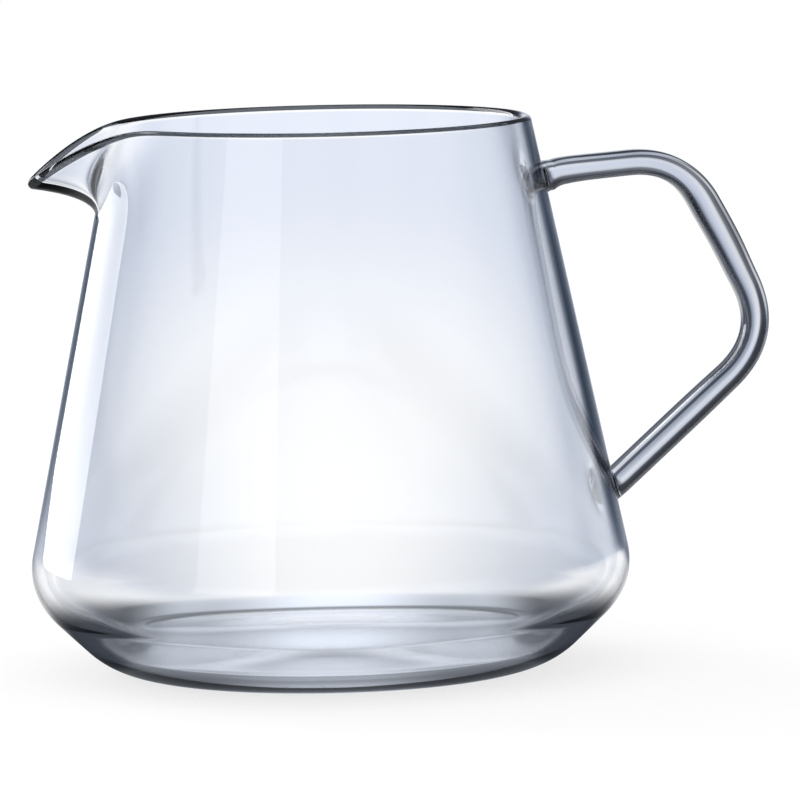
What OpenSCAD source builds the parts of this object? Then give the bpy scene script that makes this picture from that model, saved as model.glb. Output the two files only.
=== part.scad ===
// Glass coffee server: a blown conical vessel with a pulled pouring lip and a
// solid glass handle welded to the wall at both ends. Millimetres, +Z up.
// The origin is on the vessel's axis, on the table. The lip points to -X and
// the handle to +X, so XZ is the plane of symmetry.

/* [Vessel] */
// Outside diameter of the mouth
mouth_d = 80; // [72:1:90]
// Height from the table to the top of the rim
body_h = 105; // [95:1:120]
// Diameter at the corner where the lines of side and heel would meet
belly_d = 116.6; // [110:0.2:124]
// Height of that corner above the table
belly_z = 15.5; // [13:0.5:19]
// Diameter at the corner where the lines of heel and foot would meet
foot_d = 84; // [80:1:88]
// Radius that rounds the corner at the belly
belly_r = 13.2; // [10:0.2:15]
// Radius that rounds the corner at the foot
heel_r = 17.2; // [12:0.2:18]
// Thickness of the side wall, and of the rim
wall_t = 2.2; // [1.6:0.1:2.8]
// Thickness of the heel, where the blown glass gathers
heel_t = 2.6; // [2:0.1:3.2]
// Thickness of the floor
floor_t = 3; // [2:0.1:4]
// Diameter of the raised centre of the floor
kick_d = 56; // [40:1:60]
// Height of the raised centre above the table
kick_h = 1.4; // [0.6:0.1:2]

/* [Pouring lip] */
// How far the tip stands out beyond the mouth
lip_reach = 16.2; // [10:0.2:19]
// How far the rim dips at the tip
lip_drop = 9.5; // [6:0.1:12]
// How far below the rim the lip runs out into the wall
lip_depth = 17; // [14:0.5:24]
// Angle between the lip's centre line and its straight sides, in plan
lip_angle = 37; // [34:1:46]

/* [Handle] */
// Thickness of the rod, seen from the side
handle_t = 5.3; // [4:0.1:6.5]
// Width of the rod, across the plane of the handle
handle_w = 8; // [6:0.1:10]
// Radius on the long edges of the rod
handle_edge_r = 1.4; // [0.8:0.1:1.8]
// Distance of the upper bend's corner from the vessel's axis
upper_bend_x = 69.2; // [64:0.2:76]
// Depth of the upper bend's corner below the rim
upper_bend_drop = 9.4; // [8:0.1:15]
// Distance of the lower bend's corner from the vessel's axis
lower_bend_x = 86.6; // [80:0.2:96]
// Height of the lower bend's corner
lower_bend_z = 60.8; // [54:0.2:68]
// Length of rod that each side of the upper bend takes
upper_bend_l = 10; // [7:0.5:12]
// Length of rod that each side of the lower bend takes
lower_bend_l = 12; // [8:0.5:14]
// Depth of the rod's upper end below the rim, at its centre
upper_root_drop = 11.1; // [10:0.1:15]
// Height of the rod's lower end at its centre
lower_root_z = 34.4; // [30:0.2:42]
// Clear glass between the wall and the rod's upper end
upper_seal_t = 2; // [1.4:0.1:3]
// Clear glass between the wall and the rod's lower end
lower_seal_t = 2.3; // [1.4:0.1:3]
// How far a seal spreads over the wall beside the rod and towards the finger gap
seal_flare = 1.1; // [0.6:0.1:1.6]
// How far a seal draws in on its side away from the finger gap
seal_tuck = 0.4; // [0:0.1:0.6]

/* [Hidden] */

glass_tint = [0.82, 0.88, 0.93];
rod_tint = [0.62, 0.68, 0.75];
seal_tint = [0.93, 0.95, 0.97];

// Facets of round surfaces, and points of each rounded corner
round_n = 180;
seat_n = 360;
corner_n = 14;
rim_n = 10;
kick_n = 8;

// Vessel: the rim is a full round on the wall's edge. The outer side is the
// line from the belly's corner that touches that round.
rim_r = wall_t / 2;
rim_centre = [mouth_d / 2 - rim_r, body_h - rim_r];
belly_corner = [belly_d / 2, belly_z];
foot_corner = [foot_d / 2, 0];
to_rim = rim_centre - belly_corner;
lean = atan2(-to_rim.x, to_rim.y) - asin(rim_r / norm(to_rim));
heel_slope = atan2(belly_z, (belly_d - foot_d) / 2);
side_out = [cos(lean), sin(lean)];
heel_out = [sin(heel_slope), -cos(heel_slope)];

// Lip: half the angle it takes of the mouth, where it starts to fade, how
// sharply sides and mouth blend, and the small angle that rounds the tip
lip_half = 64;
lip_fade = 18;
lip_blend = 24;
lip_tip = 1.3;
lip_dip_power = 1.4;
lip_knee_share = 0.28;
lip_columns = 28;
lip_steps = 9;
lip_crowding = 1.4;
throat_z = rim_centre.y - lip_depth;
// The lip's mesh lies this far inside the turned wall that it runs into,
// and reaches this far into it
lip_sink = wall_t / 40;
lip_lap = wall_t / 2;
lip_lap_angle = 1;

// Rod: half thicknesses outside and inside the centre line, as shares of
// handle_t, at shares of the rod's length
rod_at_share = [0, 0.012, 0.03, 0.06, 0.11, 0.25, 0.33, 0.42, 0.5, 0.61, 0.8, 1];
rod_outer_share = [0.34, 0.38, 0.41, 0.42, 0.42, 0.46, 0.56, 0.6, 0.53, 0.47, 0.5, 0.5];
rod_inner_share = [0.74, 0.62, 0.56, 0.52, 0.5, 0.51, 0.55, 0.49, 0.49, 0.45, 0.5, 0.5];
rod_line_n = 9;
rod_bend_n = 12;
rod_corner_n = 5;
seal_n = 6;

// Radius of the outer side and of the middle of the wall at a height
function outer_r(z) = belly_corner.x - (z - belly_z) * tan(lean);
function mid_r(z) = outer_r(z) - rim_r / cos(lean);

// Where the line through a with direction u meets the line through b with v
function cross2(u, v) = u.x * v.y - u.y * v.x;
function meet(a, u, b, v) = a + u * cross2(b - a, v) / cross2(u, v);

// Points of the arc of radius r that rounds the corner p from a to b
function rounded(a, p, b, r, n) =
    let (u = (a - p) / norm(a - p), v = (b - p) / norm(b - p))
    let (half = acos(u * v) / 2, c = p + (u + v) / norm(u + v) * r / sin(half))
    let (s = p + u * r / tan(half) - c, turn = sign(cross2(s, v)) * (180 - 2 * half))
    [for (i = [0:n]) let (t = turn * i / n)
        c + [s.x * cos(t) - s.y * sin(t), s.x * sin(t) + s.y * cos(t)]];

function kick(r) = r < kick_d / 2 ? kick_h * (1 + cos(360 * r / kick_d)) / 2 : 0;
function kick_points(z) = [for (i = [0:kick_n]) let (r = kick_d / 2 * i / kick_n) [r, z + kick(r)]];
function reversed(list) = [for (i = [len(list) - 1:-1:0]) list[i]];

// Half section of the vessel: up the outside, over the rim, down the inside
module body_section() {
    inner_top = rim_centre - side_out * rim_r;
    side_down = [sin(lean), -cos(lean)];
    heel_in = belly_corner - heel_out * heel_t;
    heel_run = [cos(heel_slope), sin(heel_slope)];
    inner_belly = meet(inner_top, side_down, heel_in, heel_run);
    inner_foot = meet(heel_in, heel_run, [0, floor_t], [1, 0]);
    polygon(concat(
        kick_points(0),
        rounded([0, 0], foot_corner, belly_corner, heel_r, corner_n),
        rounded(foot_corner, belly_corner, rim_centre + side_out * rim_r, belly_r, corner_n),
        [for (i = [0:rim_n]) let (t = lean + 180 * i / rim_n) rim_centre + rim_r * [cos(t), sin(t)]],
        rounded(inner_top, inner_belly, inner_foot, belly_r - heel_t, corner_n),
        rounded(inner_belly, inner_foot, [0, floor_t], heel_r - floor_t, corner_n),
        reversed(kick_points(floor_t))));
}

// Plan of the pulled lip: two straight sides and a small round at the tip,
// blended into the mouth's circle
function lip_side_r(a) = (rim_centre.x + lip_reach) * sin(lip_angle + lip_tip)
    / sin(lip_angle + sqrt(a * a + lip_tip * lip_tip));
function lip_window(a) = abs(a) < lip_fade ? 1
    : abs(a) > lip_half ? 0
    : (1 + cos(180 * (abs(a) - lip_fade) / (lip_half - lip_fade))) / 2;
function lip_pull(a) = lip_window(a) * rim_centre.x
    * (pow(1 + pow(lip_side_r(a) / rim_centre.x, lip_blend), 1 / lip_blend) - 1);

// Rim of the lip: the further it is pulled out, the lower it hangs
function lip_rim(a) = let (pull = lip_pull(a))
    [rim_centre.x + pull, rim_centre.y - lip_drop * pow(pull / lip_reach, lip_dip_power)];

// Middle of the wall at the angle a, from the rim (t = 0) to the throat (t = 1)
function lip_curve(a) = let (rim = lip_rim(a))
    let (knee_z = rim.y - lip_knee_share * (rim.y - throat_z))
    [rim, [mid_r(knee_z), knee_z], [mid_r(throat_z), throat_z]];
function bezier(c, t) = (1 - t) * (1 - t) * c[0] + 2 * t * (1 - t) * c[1] + t * t * c[2];
function bezier_way(c, t) = let (d = (1 - t) * (c[1] - c[0]) + t * (c[2] - c[1])) d / norm(d);

// One section of the lip: down the outside, then up the inside, then the rim
function lip_ring(a) =
    let (c = lip_curve(a), half = rim_r - lip_sink)
    let (lap = [sin(lean), -cos(lean)] * lip_lap, top = bezier_way(c, 0), top_a = atan2(top.x, -top.y))
    concat(
        [for (i = [0:lip_steps]) let (t = i / lip_steps, w = bezier_way(c, t))
            bezier(c, t) + half * [-w.y, w.x]],
        [c[2] + lap + half * side_out, c[2] + lap - half * side_out],
        [for (i = [lip_steps:-1:0]) let (t = i / lip_steps, w = bezier_way(c, t))
            bezier(c, t) - half * [-w.y, w.x]],
        [for (i = [1:rim_n - 1]) let (t = top_a + 180 - 180 * i / rim_n)
            c[0] + half * [cos(t), sin(t)]]);

// Joins equal rings of points into a closed solid with flat ends
module skin(rings) {
    n = len(rings[0]);
    last = (len(rings) - 1) * n;
    points = [for (ring = rings) each ring];
    sides = [for (k = [0:len(rings) - 2], i = [0:n - 1]) let (j = (i + 1) % n)
        each [[k * n + i, k * n + j, (k + 1) * n + j], [k * n + i, (k + 1) * n + j, (k + 1) * n + i]]];
    ends = [[for (i = [n - 1:-1:0]) i], [for (i = [0:n - 1]) last + i]];
    polyhedron(points = points, faces = concat(sides, ends), convexity = 8);
}

module pulled_lip() {
    angles = [for (k = [-lip_columns:lip_columns]) let (u = k / lip_columns)
        sign(u) * pow(abs(u), lip_crowding) * (lip_half + lip_lap_angle)];
    skin([for (a = angles) [for (p = lip_ring(a)) [-p.x * cos(a), p.x * sin(a), p.y]]]);
}

module glass_body() {
    color(glass_tint, 0.5) {
        difference() {
            rotate_extrude($fn = round_n) body_section();
            rotate_extrude(angle = 2 * lip_half, start = 180 - lip_half, $fn = round_n)
                translate([mouth_d / 4, throat_z]) square([mouth_d / 2, body_h]);
        }
        pulled_lip();
    }
}

// Centre line of the rod in the plane of the handle, as [x, z]
upper_root_z = body_h - upper_root_drop;
upper_bend = [upper_bend_x, body_h - upper_bend_drop];
lower_bend = [lower_bend_x, lower_bend_z];
upper_root = [outer_r(upper_root_z) + upper_seal_t, upper_root_z];
lower_root = [outer_r(lower_root_z) + lower_seal_t, lower_root_z];
function unit(v) = v / norm(v);
function line(a, b, n) = [for (i = [0:n - 1]) a + (b - a) * i / n];
function bend(a, p, b, l) = let (s = p + unit(a - p) * l, e = p + unit(b - p) * l)
    [for (i = [0:rod_bend_n]) bezier([s, p, e], i / rod_bend_n)];
upper_arc = bend(upper_root, upper_bend, lower_bend, upper_bend_l);
lower_arc = bend(upper_bend, lower_bend, lower_root, lower_bend_l);
rod_path = concat(
    line(upper_root, upper_arc[0], rod_line_n), upper_arc,
    line(upper_arc[rod_bend_n] + (lower_arc[0] - upper_arc[rod_bend_n]) / rod_line_n,
        lower_arc[0], rod_line_n - 1), lower_arc,
    reversed(line(lower_root, lower_arc[rod_bend_n], rod_line_n)));
function run_to(i) = i == 0 ? 0 : run_to(i - 1) + norm(rod_path[i] - rod_path[i - 1]);
rod_run = run_to(len(rod_path) - 1);
function rod_way(i) = let (n = len(rod_path) - 1)
    i == 0 ? unit(upper_bend - upper_root)
    : i == n ? unit(lower_root - lower_bend)
    : unit(unit(rod_path[i + 1] - rod_path[i]) + unit(rod_path[i] - rod_path[i - 1]));

// Rounded section of the rod at c, square to the way w, from in_t inside the
// centre line to out_t outside it
function rod_section(c, w, out_t, in_t, half_w) =
    let (out = [-w.y, w.x], r = handle_edge_r)
    let (centres = [[out_t - r, half_w - r], [out_t - r, r - half_w], [r - in_t, r - half_w],
        [r - in_t, half_w - r]])
    [for (q = [0:3], i = [0:rod_corner_n]) let (t = 90 - 90 * (q + i / rod_corner_n))
        let (s = centres[q] + r * [cos(t), sin(t)], p = c + out * s.x) [p.x, s.y, p.y]];

module handle() {
    rings = [for (i = [0:len(rod_path) - 1]) let (u = run_to(i) / rod_run)
        rod_section(rod_path[i], rod_way(i),
            handle_t * lookup(u, [for (k = [0:len(rod_at_share) - 1]) [rod_at_share[k], rod_outer_share[k]]]),
            handle_t * lookup(u, [for (k = [0:len(rod_at_share) - 1]) [rod_at_share[k], rod_inner_share[k]]]),
            handle_w / 2)];
    color(rod_tint) skin(rings);
}

// A seal carries on from the end of the rod along w, spreads as out_flare and
// in_flare say, and sits on the wall, whose solid cone is cut away from it
module seal(root, w, out_t, in_t, out_flare, in_flare, reach) {
    color(seal_tint) difference() {
        skin([for (i = [0:seal_n]) let (u = i / seal_n, c = root + w * reach * u)
            rod_section(c, w, out_t + out_flare * u * u, in_t + in_flare * u * u,
                handle_w / 2 + seal_flare * u * u)]);
        rotate_extrude($fn = seat_n)
            polygon([[0, belly_z], [outer_r(belly_z), belly_z], [outer_r(body_h), body_h], [0, body_h]]);
    }
}

module upper_handle_seal() {
    seal(upper_root, -rod_way(0), handle_t * rod_inner_share[0], handle_t * rod_outer_share[0],
        seal_flare, -seal_tuck, 2 * upper_seal_t);
}

module lower_handle_seal() {
    last = len(rod_at_share) - 1;
    seal(lower_root, rod_way(len(rod_path) - 1), handle_t * rod_outer_share[last],
        handle_t * rod_inner_share[last], -seal_tuck, seal_flare, 3 * lower_seal_t);
}

glass_body();
handle();
upper_handle_seal();
lower_handle_seal();
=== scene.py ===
"""Glass coffee server: the vessel with its pulled lip, the rod handle and the two welds,
dressed as clear glass in a bright studio. Metres, +Z up; lip to -X, handle to +X."""
import math

import bpy
import numpy as np
from mathutils import Matrix, Vector
from mathutils.geometry import delaunay_2d_cdt


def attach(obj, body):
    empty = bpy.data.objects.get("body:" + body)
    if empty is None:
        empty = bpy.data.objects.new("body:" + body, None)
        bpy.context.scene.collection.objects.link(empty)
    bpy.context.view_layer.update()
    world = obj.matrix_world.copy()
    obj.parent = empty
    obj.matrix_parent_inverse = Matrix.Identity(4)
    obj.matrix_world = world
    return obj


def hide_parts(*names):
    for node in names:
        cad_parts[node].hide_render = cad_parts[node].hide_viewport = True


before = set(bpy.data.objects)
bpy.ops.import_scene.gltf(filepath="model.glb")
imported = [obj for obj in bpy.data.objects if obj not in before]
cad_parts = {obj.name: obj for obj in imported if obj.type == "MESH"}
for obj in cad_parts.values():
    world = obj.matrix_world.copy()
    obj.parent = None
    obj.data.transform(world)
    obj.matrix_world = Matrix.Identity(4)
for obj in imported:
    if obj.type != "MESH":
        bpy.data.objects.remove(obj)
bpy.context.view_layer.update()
scene = bpy.context.scene
MM = 0.001

# Sizes of the object, in millimetres, under the names that its CAD source gives them
mouth_d = 80.0
body_h = 105.0
belly_d = 116.6
belly_z = 15.5
foot_d = 84.0
belly_r = 13.2
heel_r = 17.2
wall_t = 2.2
heel_t = 2.6
floor_t = 3.0
kick_d = 56.0
kick_h = 1.4
lip_reach = 16.2
lip_drop = 9.5
lip_depth = 17.0
lip_angle = 37.0
handle_t = 5.3
handle_w = 8.0
upper_bend = np.array([69.2, 95.6])
lower_bend = np.array([86.6, 60.8])
upper_bend_l = 10.0
lower_bend_l = 12.0
upper_root_z = 93.9
lower_root_z = 34.4
upper_seal_t = 2.0
lower_seal_t = 2.3
seal_flare = 1.1
seal_tuck = 0.4
lip_half = 64.0
lip_fade = 18.0
lip_blend = 24.0
lip_tip = 1.3
lip_dip_power = 1.4
lip_knee_share = 0.28
rod_at_share = (0, 0.012, 0.03, 0.06, 0.11, 0.25, 0.33, 0.42, 0.5, 0.61, 0.8, 1)
rod_outer_share = (0.34, 0.38, 0.41, 0.42, 0.42, 0.46, 0.56, 0.6, 0.53, 0.47, 0.5, 0.5)
rod_inner_share = (0.74, 0.62, 0.56, 0.52, 0.5, 0.51, 0.55, 0.49, 0.49, 0.45, 0.5, 0.5)

# How square the rod's section is, a superellipse here: 2 would be an ellipse
rod_power = 3.2

# Fineness of the drawn meshes
lip_columns = 72
plain_columns = 150
lip_crowding = 1.4
corner_n = 22
side_n = 60
lip_n = 28
rim_n = 20
kick_n = 14
flat_n = 4
rod_n = 80
rod_fine_n = 720
bend_n = 32
limb_n = 24
lower_limb_n = 32
weld_n = 14
# The first and the last row with the rim's dark glass, painted shade for its dark lines, counted
# from its crown
rim_crown_n, rim_dark_n = 2, 8
# Each weld has pushed a low bump into the wall's inside: where on the wall, how far
# it stands out, and how wide it is
bump_z = (93.8, 32.6)
bump_h = 0.8
bump_r = 2.6
# How far round a weld the wall is meshed anew, how near its points come to the
# weld, and how near a point counts as on the wall
patch_edge = 2.5
patch_gap = 0.35
on_surface = 0.001


def unit(v):
    return v / np.linalg.norm(v)


def turned(angle):
    """Unit vector at an angle in degrees."""
    a = math.radians(angle)
    return np.array([math.cos(a), math.sin(a)])


# The vessel's half section, as [radius, height]
rim_r = wall_t / 2
rim_centre = np.array([mouth_d / 2 - rim_r, body_h - rim_r])
belly_corner = np.array([belly_d / 2, belly_z])
foot_corner = np.array([foot_d / 2, 0.0])
to_rim = rim_centre - belly_corner
lean = math.degrees(math.atan2(-to_rim[0], to_rim[1]) - math.asin(rim_r / np.linalg.norm(to_rim)))
heel_slope = math.degrees(math.atan2(belly_z, (belly_d - foot_d) / 2))
side_out = turned(lean)
side_down = np.array([side_out[1], -side_out[0]])
heel_run = turned(heel_slope)
heel_out = np.array([heel_run[1], -heel_run[0]])
throat_z = rim_centre[1] - lip_depth


def outer_r(z):
    return belly_corner[0] - (z - belly_z) * math.tan(math.radians(lean))


def mid_r(z):
    return outer_r(z) - rim_r / math.cos(math.radians(lean))


def meet(a, u, b, v):
    """Where the line through a along u meets the line through b along v."""
    d = b - a
    return a + u * (d[0] * v[1] - d[1] * v[0]) / (u[0] * v[1] - u[1] * v[0])


def rounded(a, p, b, r, n):
    """Points of the arc of radius r that rounds the corner p from a to b."""
    u, v = unit(a - p), unit(b - p)
    half = math.acos(np.clip(u @ v, -1, 1)) / 2
    c = p + unit(u + v) * r / math.sin(half)
    s = p + u * r / math.tan(half) - c
    e = p + v * r / math.tan(half) - c
    turn = math.copysign(math.pi - 2 * half, s[0] * e[1] - s[1] * e[0])
    out = []
    for t in np.linspace(0, turn, n + 1):
        out.append(c + np.array([s[0] * math.cos(t) - s[1] * math.sin(t),
                                 s[0] * math.sin(t) + s[1] * math.cos(t)]))
    return out


def kick_points(z):
    """The raised centre of the floor, from the axis out."""
    rs = np.linspace(0, kick_d / 2, kick_n + 1)[1:]
    return [np.array([r, z + kick_h * (1 + math.cos(2 * math.pi * r / kick_d)) / 2]) for r in rs]


def lip_pull(a):
    """How far the lip is pulled out at the angle a from its middle, in degrees."""
    a = abs(a)
    side_r = ((rim_centre[0] + lip_reach) * math.sin(math.radians(lip_angle + lip_tip))
              / math.sin(math.radians(lip_angle + math.hypot(a, lip_tip))))
    window = 1.0 if a < lip_fade else 0.0
    if lip_fade <= a < lip_half:
        window = (1 + math.cos(math.pi * (a - lip_fade) / (lip_half - lip_fade))) / 2
    blended = (1 + (side_r / rim_centre[0]) ** lip_blend) ** (1 / lip_blend)
    return window * rim_centre[0] * (blended - 1)


def side_section(a):
    """The wall at the angle a, up the outside from the throat, over the rim, down the inside."""
    pull = lip_pull(a)
    rim = np.array([rim_centre[0] + pull,
                    rim_centre[1] - lip_drop * (pull / lip_reach) ** lip_dip_power])
    knee_z = rim[1] - lip_knee_share * (rim[1] - throat_z)
    c = [rim, np.array([mid_r(knee_z), knee_z]), np.array([mid_r(throat_z), throat_z])]
    outside, inside = [], []
    for t in np.linspace(0, 1, lip_n + 1):
        p = (1 - t) ** 2 * c[0] + 2 * t * (1 - t) * c[1] + t * t * c[2]
        w = unit((1 - t) * (c[1] - c[0]) + t * (c[2] - c[1]))
        out = np.array([-w[1], w[0]])
        outside.append(p + rim_r * out)
        inside.append(p - rim_r * out)
    top = unit(c[1] - c[0])
    start = math.atan2(top[0], -top[1])
    cap = [rim + rim_r * np.array([math.cos(start + t), math.sin(start + t)])
           for t in np.linspace(0, math.pi, rim_n + 1)[1:-1]]
    return outside[::-1] + cap + inside


def between(a, b, n):
    """Points from a to b, without either."""
    return [a + (b - a) * t for t in np.linspace(0, 1, n + 1)[1:-1]]


def column_angles():
    """Angles of the vessel's sections from the middle of the lip, crowded where the lip is."""
    one_side = [lip_half * (k / lip_columns) ** lip_crowding for k in range(1, lip_columns + 1)]
    plain = between(lip_half, 360 - lip_half, plain_columns)
    return [0.0] + one_side + plain + [360 - a for a in one_side[::-1]]


def body_sections(angles):
    """Sections of the vessel from the underside's centre to the floor's centre."""
    inner_top = rim_centre - side_out * rim_r
    heel_in = belly_corner - heel_out * heel_t
    inner_belly = meet(inner_top, side_down, heel_in, heel_run)
    inner_foot = meet(heel_in, heel_run, np.array([0, floor_t]), np.array([1.0, 0.0]))
    outer_top = rim_centre + side_out * rim_r
    foot = rounded(np.zeros(2), foot_corner, belly_corner, heel_r, corner_n)
    belly = rounded(foot_corner, belly_corner, outer_top, belly_r, corner_n)
    belly_in = rounded(inner_top, inner_belly, inner_foot, belly_r - heel_t, corner_n)
    foot_in = rounded(inner_belly, inner_foot, np.array([0, floor_t]), heel_r - floor_t, corner_n)
    sections = []
    for angle in angles:
        side = side_section((angle + 180) % 360 - 180)
        under = kick_points(0.0)
        over = kick_points(floor_t)[::-1]
        s = under + between(under[-1], foot[0], flat_n) + foot
        s += between(foot[-1], belly[0], flat_n) + belly
        s += between(belly[-1], side[0], side_n) + side
        s += between(side[-1], belly_in[0], side_n)
        s += belly_in + between(belly_in[-1], foot_in[0], flat_n) + foot_in
        s += between(foot_in[-1], over[0], flat_n) + over
        sections.append(s)
    return sections


def mesh_object(name, points, faces):
    """A smooth mesh object; points are in millimetres."""
    mesh = bpy.data.meshes.new(name)
    mesh.from_pydata([tuple(float(x) * MM for x in p) for p in points], [], faces)
    mesh.validate()
    for polygon in mesh.polygons:
        polygon.use_smooth = True
    mesh.update()
    obj = bpy.data.objects.new(name, mesh)
    scene.collection.objects.link(obj)
    return obj


def wall_point(theta, z):
    """A point on the side's outer surface; theta is in radians from the handle."""
    return (outer_r(z) * math.cos(theta), outer_r(z) * math.sin(theta), z)


def bump(angle, p):
    """The inside's point p, moved in where a weld is near; the angle runs from the lip."""
    along = p[0] * math.radians(angle - 180)
    push = sum(bump_h * math.exp(-(along ** 2 + (p[1] - z) ** 2) / (2 * bump_r ** 2))
               for z in bump_z)
    return np.array([p[0] - push, p[1]])


def make_body(foot_loops):
    """The vessel; the wall is open inside each loop, where a weld grows out of it."""
    angles = column_angles()
    columns = len(angles)
    sections = body_sections(angles)
    n = len(sections[0])
    # The crown of the rim, from which its rows of painted dark glass are counted on both sides
    top = max(range(n), key=lambda i: sections[columns // 2][i][1])
    rim_rows = [i for i in range(n) if rim_crown_n <= abs(i - top) <= rim_dark_n]
    points, faces = [], []
    for angle, section in zip(angles, sections):
        # The angle runs from the lip, at -X
        a = math.radians(angle)
        section = section[:top] + [bump(angle, p) for p in section[top:]]
        points += [(-p[0] * math.cos(a), p[0] * math.sin(a), p[1]) for p in section]
    for k in range(columns):
        j = (k + 1) % columns
        for i in range(n - 1):
            faces.append((k * n + i, k * n + i + 1, j * n + i + 1, j * n + i))
    under, over = len(points), len(points) + 1
    points += [(0, 0, kick_h), (0, 0, floor_t + kick_h)]
    for k in range(columns):
        j = (k + 1) % columns
        faces.append((under, k * n, j * n))
        faces.append((over, j * n + n - 1, k * n + n - 1))
    for loop in foot_loops:
        faces = open_wall(points, faces, loop)
    body = mesh_object("blown_vessel", points, faces)
    body.data.materials.append(body_glass)
    body.data.materials.append(rim_painted_dark_glass)
    for polygon in body.data.polygons:
        # Faces on the rim's rows take the dark glass, painted shade for the rim's dark lines
        on_rim = all(i < columns * n and i % n in rim_rows for i in polygon.vertices)
        polygon.material_index = int(on_rim)
    return body


def open_wall(points, faces, loop):
    """Opens the outer wall inside a loop of points on it, and meshes it anew round the loop."""
    middle_r = outer_r(sum(p[2] for p in loop) / len(loop))

    def flat(p):
        return Vector((math.atan2(p[1], p[0]) * middle_r, p[2]))

    outline = [flat(p) for p in loop]
    low = [min(p[i] for p in outline) - patch_edge for i in range(2)]
    high = [max(p[i] for p in outline) + patch_edge for i in range(2)]
    kept, inside = [], []
    for face in faces:
        corners = [points[i] for i in face]
        on_wall = all(p[0] > 0 and abs(math.hypot(p[0], p[1]) - outer_r(p[2])) < on_surface
                      for p in corners)
        patch = on_wall and all(low[i] < flat(p)[i] < high[i] for p in corners for i in range(2))
        (inside if patch else kept).append(face)
    used = sorted({i for face in inside for i in face})
    edges = {}
    for face in inside:
        for a, b in zip(face, face[1:] + face[:1]):
            edges[tuple(sorted((a, b)))] = edges.get(tuple(sorted((a, b))), 0) + 1
    rim = {i for edge, count in edges.items() if count == 1 for i in edge}
    near = [i for i in used if i in rim or clear_of(flat(points[i]), outline)]
    number = {i: k for k, i in enumerate(near)}
    border = [(number[a], number[b]) for (a, b), count in edges.items() if count == 1]
    first = len(near)
    ring = [(first + k, first + (k + 1) % len(loop)) for k in range(len(loop))]
    flat_points = [flat(points[i]) for i in near] + outline
    result = delaunay_2d_cdt(flat_points, border + ring, [], 0, on_surface / 10)
    index = near + list(range(len(points), len(points) + len(loop)))
    points += loop
    for face in result[2]:
        centre = sum((result[0][i] for i in face), Vector((0, 0))) / len(face)
        if winding(centre, outline) == 0:
            kept.append(tuple(index[result[3][i][0]] for i in face))
    return kept


def winding(p, outline):
    """How often the outline goes round p: 0 outside it."""
    turns = 0.0
    for a, b in zip(outline, outline[1:] + outline[:1]):
        u, v = a - p, b - p
        turns += math.atan2(u.x * v.y - u.y * v.x, u.dot(v))
    return round(turns / (2 * math.pi))


def clear_of(p, outline):
    return winding(p, outline) == 0 and min((p - q).length for q in outline) > patch_gap


# A point in the finger gap
finger_gap = np.array([60.0, 0.0, 70.0])
# Shares of the rod's half thickness: where a weld starts to draw in, and over how much it does
tuck_from, tuck_over = 0.3, 0.6
# Search for the wall along a weld's lines: its steps, and the least slope that it counts on
search_steps = 20
least_slope = 0.2

# The rod's centre line in the plane of the handle, as [x, z]
upper_root = np.array([outer_r(upper_root_z) + upper_seal_t, upper_root_z])
lower_root = np.array([outer_r(lower_root_z) + lower_seal_t, lower_root_z])


def bend(a, p, b, length, n):
    """A corner p between a and b, eased over a length on each side."""
    s, e = p + unit(a - p) * length, p + unit(b - p) * length
    return [(1 - t) ** 2 * s + 2 * t * (1 - t) * p + t * t * e for t in np.linspace(0, 1, n + 1)]


def rod_line():
    upper_arc = bend(upper_root, upper_bend, lower_bend, upper_bend_l, bend_n)
    lower_arc = bend(upper_bend, lower_bend, lower_root, lower_bend_l, bend_n)
    return ([upper_root] + between(upper_root, upper_arc[0], limb_n) + upper_arc
            + between(upper_arc[-1], lower_arc[0], limb_n) + lower_arc
            + between(lower_arc[-1], lower_root, lower_limb_n) + [lower_root])


def smooth_table(u, at, values):
    """A soft curve through the rod's table of thicknesses."""
    slopes = np.gradient(values, at)
    k = int(np.clip(np.searchsorted(at, u) - 1, 0, len(at) - 2))
    step = at[k + 1] - at[k]
    t = (u - at[k]) / step
    return ((2 * t ** 3 - 3 * t ** 2 + 1) * values[k] + (t ** 3 - 2 * t ** 2 + t) * step * slopes[k]
            + (3 * t ** 2 - 2 * t ** 3) * values[k + 1] + (t ** 3 - t ** 2) * step * slopes[k + 1])


def rod_section(c, w, out_t, in_t, half_w):
    """The rod's soft section at c, square to w, from in_t inside the line to out_t outside."""
    out = np.array([-w[1], w[0]])
    t = np.linspace(math.pi / 2, -1.5 * math.pi, rod_fine_n + 1)
    across, along = np.cos(t), np.sin(t)
    across = np.where(across > 0, out_t, in_t) * np.sign(across) * abs(across) ** (2 / rod_power)
    along = half_w * np.sign(along) * abs(along) ** (2 / rod_power)
    run = np.concatenate([[0], np.cumsum(np.hypot(np.diff(across), np.diff(along)))])
    at = np.linspace(0, run[-1], rod_n + 1)[:-1]
    return [(c[0] + out[0] * p, q, c[1] + out[1] * p)
            for p, q in zip(np.interp(at, run, across), np.interp(at, run, along))]


def skin(name, rings):
    """Joins equal rings of points into a tube, open at both ends, where the next piece goes on."""
    n = len(rings[0])
    points = [p for ring in rings for p in ring]
    faces = []
    for k in range(len(rings) - 1):
        for i in range(n):
            j = (i + 1) % n
            faces.append((k * n + i, k * n + j, (k + 1) * n + j, (k + 1) * n + i))
    return mesh_object(name, points, faces)


def rod_halves(u):
    return (handle_t * smooth_table(u, rod_at_share, rod_outer_share),
            handle_t * smooth_table(u, rod_at_share, rod_inner_share))


def rod_rings():
    line = rod_line()
    steps = [np.linalg.norm(b - a) for a, b in zip(line, line[1:])]
    run = np.concatenate([[0], np.cumsum(steps)])
    rings = []
    for i, c in enumerate(line):
        w = unit(line[min(i + 1, len(line) - 1)] - line[max(i - 1, 0)])
        out_t, in_t = rod_halves(run[i] / run[-1])
        rings.append(rod_section(c, w, out_t, in_t, handle_w / 2))
    return rings


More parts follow.
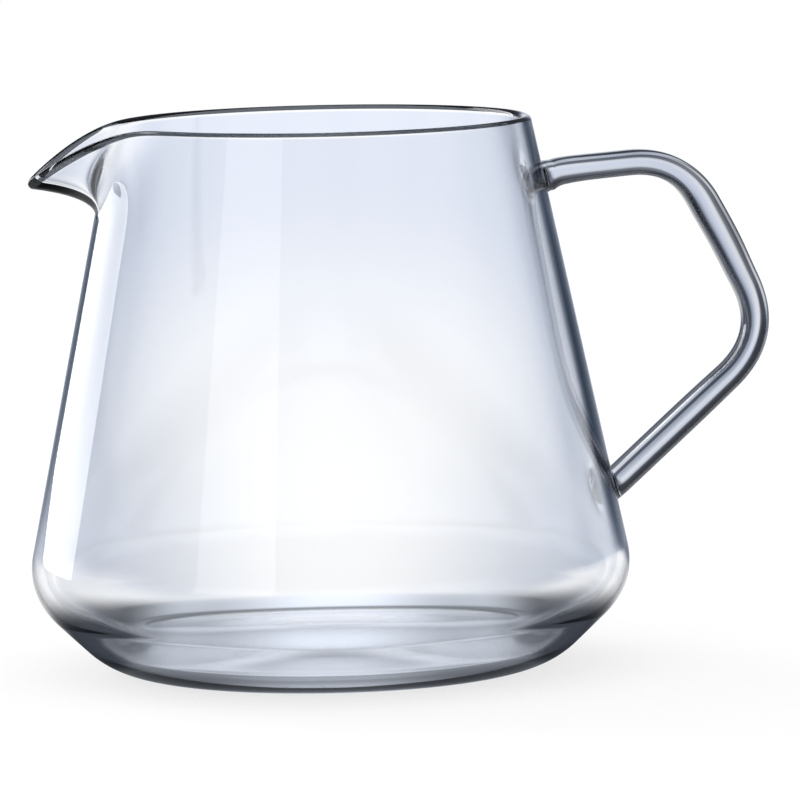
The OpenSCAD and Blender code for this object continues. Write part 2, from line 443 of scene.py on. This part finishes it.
def onto_wall(p, way):
    """The point where the line from p along way meets the wall's outer surface."""
    far = 0.0
    for _ in range(search_steps):
        q = p + way * far
        far += (math.hypot(q[0], q[1]) - outer_r(q[2])) / max(least_slope, -way[0])
    return p + way * far


def weld_rings(ring, w):
    """Rings of a weld, from the rod's last ring along w to the wall, where they spread into it."""
    way = np.array([w[0], 0.0, w[1]])
    starts = [np.array(p) for p in ring]
    feet = [onto_wall(p, way) for p in starts]
    middle = sum(feet) / len(feet)
    # Across the rod in the plane of the handle, away from the finger gap
    away = np.array([-w[1], 0.0, w[0]])
    away = away if away @ (middle - finger_gap) > 0 else -away
    half = max((p - middle) @ away for p in starts)
    ends = []
    for foot in feet:
        tuck = np.clip(((foot - middle) @ away / half - tuck_from) / tuck_over, 0, 1)
        spread = seal_flare * (1 - tuck) - seal_tuck * tuck
        x, y, z = foot + unit(foot - middle) * spread
        ends.append(np.array(wall_point(math.atan2(y, x), z)))
    rings = []
    for t in np.linspace(0, 1, weld_n + 1):
        rings.append([tuple((1 - t) ** 2 * a + 2 * t * (1 - t) * b + t * t * c)
                      for a, b, c in zip(starts, feet, ends)])
    return rings


def material(name):
    """A new node material, its tree and its Principled shader."""
    mat = bpy.data.materials.new(name)
    mat.use_nodes = True
    return mat, mat.node_tree, mat.node_tree.nodes["Principled BSDF"]


def feed(tree, socket, value):
    """Gives a socket a number, a colour or another node's output."""
    if isinstance(value, (int, float)):
        socket.default_value = value
    elif isinstance(value, tuple):
        socket.default_value = (*value, 1)
    else:
        tree.links.new(value, socket)


def math_node(tree, operation, *values):
    node = tree.nodes.new("ShaderNodeMath")
    node.operation = operation
    for socket, value in zip(node.inputs, values):
        feed(tree, socket, value)
    return node.outputs[0]


def mix_colour(tree, factor, a, b):
    node = tree.nodes.new("ShaderNodeMix")
    node.data_type = "RGBA"
    # Sockets 6 and 7 are the node's two colours, and output 2 its mixed colour
    feed(tree, node.inputs["Factor"], factor)
    feed(tree, node.inputs[6], a)
    feed(tree, node.inputs[7], b)
    return node.outputs[2]


def smooth_step(tree, value, start, end):
    """0 up to start, 1 from end on and a soft change between; end may be the smaller one."""
    node = tree.nodes.new("ShaderNodeMapRange")
    node.interpolation_type = "SMOOTHSTEP"
    feed(tree, node.inputs["Value"], value)
    node.inputs["From Min"].default_value = start
    node.inputs["From Max"].default_value = end
    return node.outputs["Result"]


glass_ior = 1.474


def glass(name, tint, wave_scale, wave_height, edge, edge_from, edge_to, painted_streak=None):
    """Glass with the faint unevenness of a piece blown and drawn by hand; its colour goes from
    tint to edge as it turns away, and in a streak, given as where it starts and ends: painted
    shade for the dark edges and the dark streak that light gives glass."""
    mat, tree, shader = material(name)
    shader.inputs["Base Color"].default_value = (*tint, 1)
    shader.inputs["Roughness"].default_value = 0.0
    shader.inputs["IOR"].default_value = glass_ior
    shader.inputs["Transmission Weight"].default_value = 1.0
    place = tree.nodes.new("ShaderNodeTexCoord")
    noise = tree.nodes.new("ShaderNodeTexNoise")
    noise.inputs["Scale"].default_value = wave_scale
    noise.inputs["Detail"].default_value = 1.0
    uneven = tree.nodes.new("ShaderNodeBump")
    uneven.inputs["Strength"].default_value = 1.0
    uneven.inputs["Distance"].default_value = wave_height
    tree.links.new(place.outputs["Object"], noise.inputs["Vector"])
    tree.links.new(noise.outputs["Fac"], uneven.inputs["Height"])
    tree.links.new(uneven.outputs["Normal"], shader.inputs["Normal"])
    # Painted shade: the glass goes dark where it curves away, for the dark edges that light gives
    # it
    facing = tree.nodes.new("ShaderNodeLayerWeight")
    away = smooth_step(tree, facing.outputs["Facing"], edge_from, edge_to)
    if painted_streak:
        # Painted shade as well: a dark streak beside a thick rod's bright middle
        band = [smooth_step(tree, facing.outputs["Facing"], *ends) for ends in painted_streak]
        away = math_node(tree, "MAXIMUM", away, math_node(tree, "MULTIPLY", *band))
    tree.links.new(mix_colour(tree, away, tint, edge), shader.inputs["Base Color"])
    return mat


# Painted shade: the clear glass turns grey-blue at its edges
body_glass = glass("clear_blown_glass", (0.992, 0.996, 1.0), wave_scale=45.0, wave_height=0.00002,
                   edge=(0.25, 0.27, 0.32), edge_from=0.76, edge_to=0.97)
# Painted shade: near-black glass for the dark lines that light draws along a glass rim
rim_painted_dark_glass = glass("rim_painted_dark", (0.016, 0.019, 0.024), wave_scale=45.0, wave_height=0.00002,
                  edge=(0.10, 0.11, 0.14), edge_from=0.50, edge_to=0.90)
# Painted shade: the rod's glass is greyed, and its edges and a streak beside its middle go dark
rod_glass = glass("rod_glass_painted_grey", (0.78, 0.80, 0.83), wave_scale=90.0, wave_height=0.00001,
                  edge=(0.045, 0.05, 0.065), edge_from=0.56, edge_to=0.66,
                  painted_streak=((0.015, 0.055), (0.28, 0.20)))

rod = rod_rings()
upper_weld = weld_rings(rod[0], unit(upper_root - upper_bend))
lower_weld = weld_rings(rod[-1], unit(lower_root - lower_bend))
for piece, node, slot, surface in (
        (make_body([upper_weld[-1], lower_weld[-1]]), "glass_body", "clear_glass", None),
        (skin("rod_handle", rod), "handle", "rod_glass", rod_glass),
        (skin("upper_weld", upper_weld[::-1]), "upper_handle_seal", "rod_glass", rod_glass),
        (skin("lower_weld", lower_weld), "lower_handle_seal", "rod_glass", rod_glass)):
    # The vessel has its two glasses already
    if surface:
        piece.data.materials.append(surface)
    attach(piece, "root")
    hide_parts(node)

# Camera: found from the photograph's outline, at the object's real scale
view_turn = math.radians(8.0)
camera_away = 1.4166
camera_height = 0.20135
yaw = 0.0098
pitch = 0.1058
roll = -0.0212
focal_px = 7469.8
frame_px = 800.0
heading = yaw + view_turn
forward = Vector((math.sin(heading) * math.cos(pitch), math.cos(heading) * math.cos(pitch),
                  -math.sin(pitch)))
right = Vector((math.cos(heading), -math.sin(heading), 0))
up = right.cross(forward)
camera_right = math.cos(roll) * right + math.sin(roll) * up
camera_up = math.cos(roll) * up - math.sin(roll) * right
camera_data = bpy.data.cameras.new("camera")
camera_data.sensor_width = 36.0
camera_data.lens = camera_data.sensor_width * focal_px / frame_px
camera_data.clip_end = 100.0
camera = bpy.data.objects.new("camera", camera_data)
scene.collection.objects.link(camera)
turn = Matrix((camera_right, camera_up, -forward)).transposed()
camera_place = (-camera_away * math.sin(view_turn), -camera_away * math.cos(view_turn),
                camera_height)
camera.matrix_world = Matrix.Translation(camera_place) @ turn.to_4x4()
scene.camera = camera

# What the glass sees around it: behind the object a bright lane that darkens to both
# sides, and further round a pale lane every eighth of a turn. Colours are linear,
# lengths are metres from the object's axis.

# A lane's colour near the object and far from it, and where it fades
near_r, far_r = 0.30, 1.25
lane_near = (1.10, 1.10, 1.10)
lane_far = (0.82, 0.865, 0.975)
lane_edge = (0.95, 1.08, 1.38)
# How narrow the lane behind is, and the distance at which a lane is twice as wide, in
# degrees, as far away
lane_narrow = 7.6
lane_spread = 0.34
# How a lane fades to its sides: softly near the object, sharply far from it
soft_r, sharp_r = 0.20, 0.70
soft_power, sharp_power = 2.2, 3.5
# Between the lanes, and above them
shade = (0.012, 0.024, 0.042)
above = (0.10, 0.11, 0.13)
# The other lanes: how far apart they are, how far off the one behind they start to show
# and show in full, how far to the right that is shifted, their level and their narrowness
lane_step = math.pi / 4
lanes_from, lanes_full = math.radians(24), math.radians(36)
lanes_shift = math.radians(4)
other_lane = 0.92
other_narrow = 3.6
# Low down the world shows what the table shows at this distance; higher up, by the sine
# of the elevation, it shows what is above
world_r = 1.0
above_from, above_full = 0.08, 0.25
# What matte surfaces get from the world, and what the camera sees of it
plain_light = (1.1, 1.1, 1.1)
white = (1.0, 1.0, 1.0)

# Painted shadow on the table under the foot, seen by the glass alone: between its darkest and its
# brightest colour
shadow_darkest = (0.01, 0.015, 0.025)
foot_bright = (1.0, 1.07, 1.2)
# Its level in the middle, how much that falls beside the line of sight, as painted shade, and over
# what distance
under_middle, under_fall = 1.0, 0.45
fall_from, fall_to = 0.003, 0.026
# Further to the sides it goes dark, as painted shade
side_from, side_to, side_shadow = 0.030, 0.044, 0.92
# A painted contact shadow darkens a ring below the foot: where its inner and its outer edge start
# and end
ring_inner, ring_outer, ring_shadow = (0.035, 0.040), (0.048, 0.043), 0.7
# Where it gives way to the open table
foot_from, foot_to = 0.056, 0.085

# The table as the camera sees it: its half size, how far below the foot it lies, its
# matte colour, and what share of it is plain white
table_half = 8.0
table_gap = 0.00005
table_matte = (0.92, 0.92, 0.92, 1)
table_white = 0.75


def lane(tree, off, radius, narrowness):
    """How bright a lane is at an angle off its middle, radius metres from the object."""
    side = math_node(tree, "ABSOLUTE", math_node(tree, "SINE", off))
    share = math_node(tree, "DIVIDE", radius, math_node(tree, "ADD", radius, lane_spread))
    narrow = math_node(tree, "MULTIPLY", share, narrowness)
    sharper = math_node(tree, "MULTIPLY", smooth_step(tree, radius, soft_r, sharp_r),
                        sharp_power - soft_power)
    fall = math_node(tree, "POWER", math_node(tree, "MULTIPLY", side, narrow),
                     math_node(tree, "ADD", sharper, soft_power))
    return math_node(tree, "DIVIDE", 1.0, math_node(tree, "ADD", fall, 1.0))


def surroundings(tree, x, y, radius):
    """Colour of the surroundings in the direction of (x, y), radius metres from the object."""
    bearing = math_node(tree, "ARCTAN2", x, y)
    behind = math_node(tree, "WRAP", math_node(tree, "SUBTRACT", bearing, heading),
                       math.pi, -math.pi)
    turns = math_node(tree, "DIVIDE", bearing, lane_step)
    whole = math_node(tree, "ROUND", turns)
    off = math_node(tree, "MULTIPLY", math_node(tree, "SUBTRACT", turns, whole), lane_step)
    aside = math_node(tree, "ABSOLUTE", math_node(tree, "SUBTRACT", behind, lanes_shift))
    far_round = smooth_step(tree, aside, lanes_from, lanes_full)
    ahead = math_node(tree, "SUBTRACT", 1.0, far_round)
    main = math_node(tree, "MULTIPLY", lane(tree, behind, radius, lane_narrow), ahead)
    other = math_node(tree, "MULTIPLY", lane(tree, off, radius, other_narrow),
                      math_node(tree, "MULTIPLY", far_round, other_lane))
    bright = math_node(tree, "ADD", main, other)
    distance = smooth_step(tree, radius, near_r, far_r)
    lit = mix_colour(tree, bright, lane_edge, mix_colour(tree, distance, lane_near, lane_far))
    return mix_colour(tree, bright, shade, lit)


def make_world():
    """The studio: white to the camera, even to matte surfaces, and in lanes to the glass."""
    world = bpy.data.worlds.new("studio")
    scene.world = world
    world.use_nodes = True
    tree = world.node_tree
    tree.nodes.clear()
    place = tree.nodes.new("ShaderNodeTexCoord")
    axes = tree.nodes.new("ShaderNodeSeparateXYZ")
    tree.links.new(place.outputs["Generated"], axes.inputs[0])
    low = surroundings(tree, axes.outputs["X"], axes.outputs["Y"], world_r)
    high = smooth_step(tree, axes.outputs["Z"], above_from, above_full)
    seen = mix_colour(tree, high, low, above)
    rays = tree.nodes.new("ShaderNodeLightPath")
    soft = mix_colour(tree, rays.outputs["Is Diffuse Ray"], seen, plain_light)
    colour = mix_colour(tree, rays.outputs["Is Camera Ray"], soft, white)
    background = tree.nodes.new("ShaderNodeBackground")
    tree.links.new(colour, background.inputs["Color"])
    out = tree.nodes.new("ShaderNodeOutputWorld")
    tree.links.new(background.outputs[0], out.inputs["Surface"])


def make_floor():
    """A wide pale table: white with a shadow to the camera, and in lanes to the glass, with a
    painted shadow under the foot.
    """
    corners = [(x * table_half, y * table_half, 0) for x, y in ((-1, -1), (1, -1), (1, 1), (-1, 1))]
    mesh = bpy.data.meshes.new("floor")
    mesh.from_pydata(corners, [], [(0, 1, 2, 3)])
    floor = bpy.data.objects.new("floor", mesh)
    floor.location.z = -table_gap
    scene.collection.objects.link(floor)
    mat, tree, shader = material("pale_table")
    tree.nodes.remove(shader)
    place = tree.nodes.new("ShaderNodeNewGeometry")
    axes = tree.nodes.new("ShaderNodeSeparateXYZ")
    tree.links.new(place.outputs["Position"], axes.inputs[0])
    x, y = axes.outputs["X"], axes.outputs["Y"]
    radius = math_node(tree, "SQRT", math_node(tree, "ADD", math_node(tree, "MULTIPLY", x, x),
                                              math_node(tree, "MULTIPLY", y, y)))
    open_floor = surroundings(tree, x, y, radius)
    # Distance from the line of sight through the axis
    across = math_node(tree, "ABSOLUTE", math_node(
        tree, "SUBTRACT", math_node(tree, "MULTIPLY", x, math.cos(heading)),
        math_node(tree, "MULTIPLY", y, math.sin(heading))))
    # Painted shadow under the foot: a dark ring, dark strips to the sides and a fall beside the
    # middle
    ring = math_node(tree, "MULTIPLY", smooth_step(tree, radius, *ring_inner),
                     smooth_step(tree, radius, *ring_outer))
    sides = math_node(tree, "MULTIPLY", smooth_step(tree, across, side_from, side_to), side_shadow)
    dark = math_node(tree, "MAXIMUM", sides, math_node(tree, "MULTIPLY", ring, ring_shadow))
    fall = math_node(tree, "MULTIPLY", smooth_step(tree, across, fall_from, fall_to), under_fall)
    level = math_node(tree, "MULTIPLY", math_node(tree, "SUBTRACT", 1.0, dark),
                      math_node(tree, "SUBTRACT", under_middle, fall))
    painted_floor_shadow = mix_colour(tree, level, shadow_darkest, foot_bright)
    table = mix_colour(tree, smooth_step(tree, radius, foot_from, foot_to), painted_floor_shadow, open_floor)
    glow = tree.nodes.new("ShaderNodeEmission")
    tree.links.new(table, glow.inputs["Color"])
    matte = tree.nodes.new("ShaderNodeBsdfDiffuse")
    matte.inputs["Color"].default_value = table_matte
    plain = tree.nodes.new("ShaderNodeEmission")
    paper = tree.nodes.new("ShaderNodeMixShader")
    paper.inputs[0].default_value = table_white
    tree.links.new(matte.outputs[0], paper.inputs[1])
    tree.links.new(plain.outputs[0], paper.inputs[2])
    rays = tree.nodes.new("ShaderNodeLightPath")
    mix = tree.nodes.new("ShaderNodeMixShader")
    tree.links.new(rays.outputs["Is Camera Ray"], mix.inputs[0])
    tree.links.new(glow.outputs[0], mix.inputs[1])
    tree.links.new(paper.outputs[0], mix.inputs[2])
    out = tree.nodes["Material Output"]
    tree.links.new(mix.outputs[0], out.inputs["Surface"])
    mesh.materials.append(mat)


def softbox(name, bearing, away, height, width, tall, radiance):
    """A soft lamp that only lights and mirrors; its bearing is in degrees from straight behind
    the object, positive to the right."""
    a = heading + math.radians(bearing)
    lamp = bpy.data.lights.new(name, "AREA")
    lamp.shape = "RECTANGLE"
    lamp.size = width
    lamp.size_y = tall
    lamp.energy = radiance * math.pi * width * tall
    obj = bpy.data.objects.new(name, lamp)
    place = Vector((math.sin(a) * away, math.cos(a) * away, height))
    obj.location = place
    obj.rotation_euler = (-(place - Vector((0, 0, height)))).to_track_quat("-Z", "Y").to_euler()
    obj.visible_camera = False
    obj.visible_transmission = False
    scene.collection.objects.link(obj)


make_world()
make_floor()
softbox("strip_left", bearing=-46, away=1.2, height=0.55, width=0.80, tall=1.2, radiance=3.4)
softbox("window_left", bearing=-143.5, away=1.5, height=0.55, width=0.84, tall=0.9, radiance=1.3)

scene.view_settings.view_transform = "Standard"
